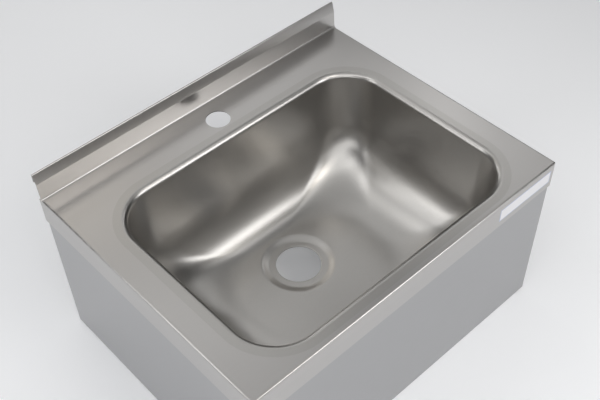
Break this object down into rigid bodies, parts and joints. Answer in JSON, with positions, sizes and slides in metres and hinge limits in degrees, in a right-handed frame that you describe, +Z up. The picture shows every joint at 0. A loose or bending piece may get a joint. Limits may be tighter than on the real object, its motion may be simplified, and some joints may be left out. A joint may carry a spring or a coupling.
{
  "type": "hand wash sink",
  "caption": "Wall-hung stainless steel hand wash sink: deep rounded bowl in a folded top with upstand and tap hole, over an open-backed casing.",
  "frame": {"origin": "on the plane of the casing's bottom edges, under the middle of the sink's bounding box", "axes": "+X along the front edge to the right of a user facing the wall, +Y from the front to the wall, +Z up"},
  "size_m": [0.5, 0.4001, 0.29],
  "materials": {
    "worktop_steel": "satin, fine grain along the long side",
    "bowl_steel": "satin, drawn and buffed all round",
    "casing_steel": "satin, fine grain along the panel",
    "bracket_steel": "mill finish, dull",
    "fastener_steel": "bright, cold headed",
    "tinned_copper": "tin plated",
    "damping_pad": "matt, slightly pebbled",
    "label_film": "plain off-white film"
  },
  "bodies": {
    "root": {"worktop": "worktop_steel", "bowl": "bowl_steel", "casing": "casing_steel", "tap_plate": "bracket_steel", "casing_studs": "fastener_steel", "casing_washers": "fastener_steel", "casing_nuts": "fastener_steel", "wall_bracket_left": "bracket_steel", "wall_bracket_right": "bracket_steel", "bracket_studs": "fastener_steel", "bracket_washers": "fastener_steel", "bracket_nuts": "fastener_steel", "rear_crossbar": "bracket_steel", "sound_pad_front": "damping_pad", "sound_pad_right": "damping_pad", "sound_pad_rear": "damping_pad", "sound_pad_left": "damping_pad", "earth_stud": "fastener_steel", "earth_tag": "tinned_copper", "earth_washer": "fastener_steel", "earth_nut": "fastener_steel", "blank_label": "label_film"}
  },
  "joints": []
}
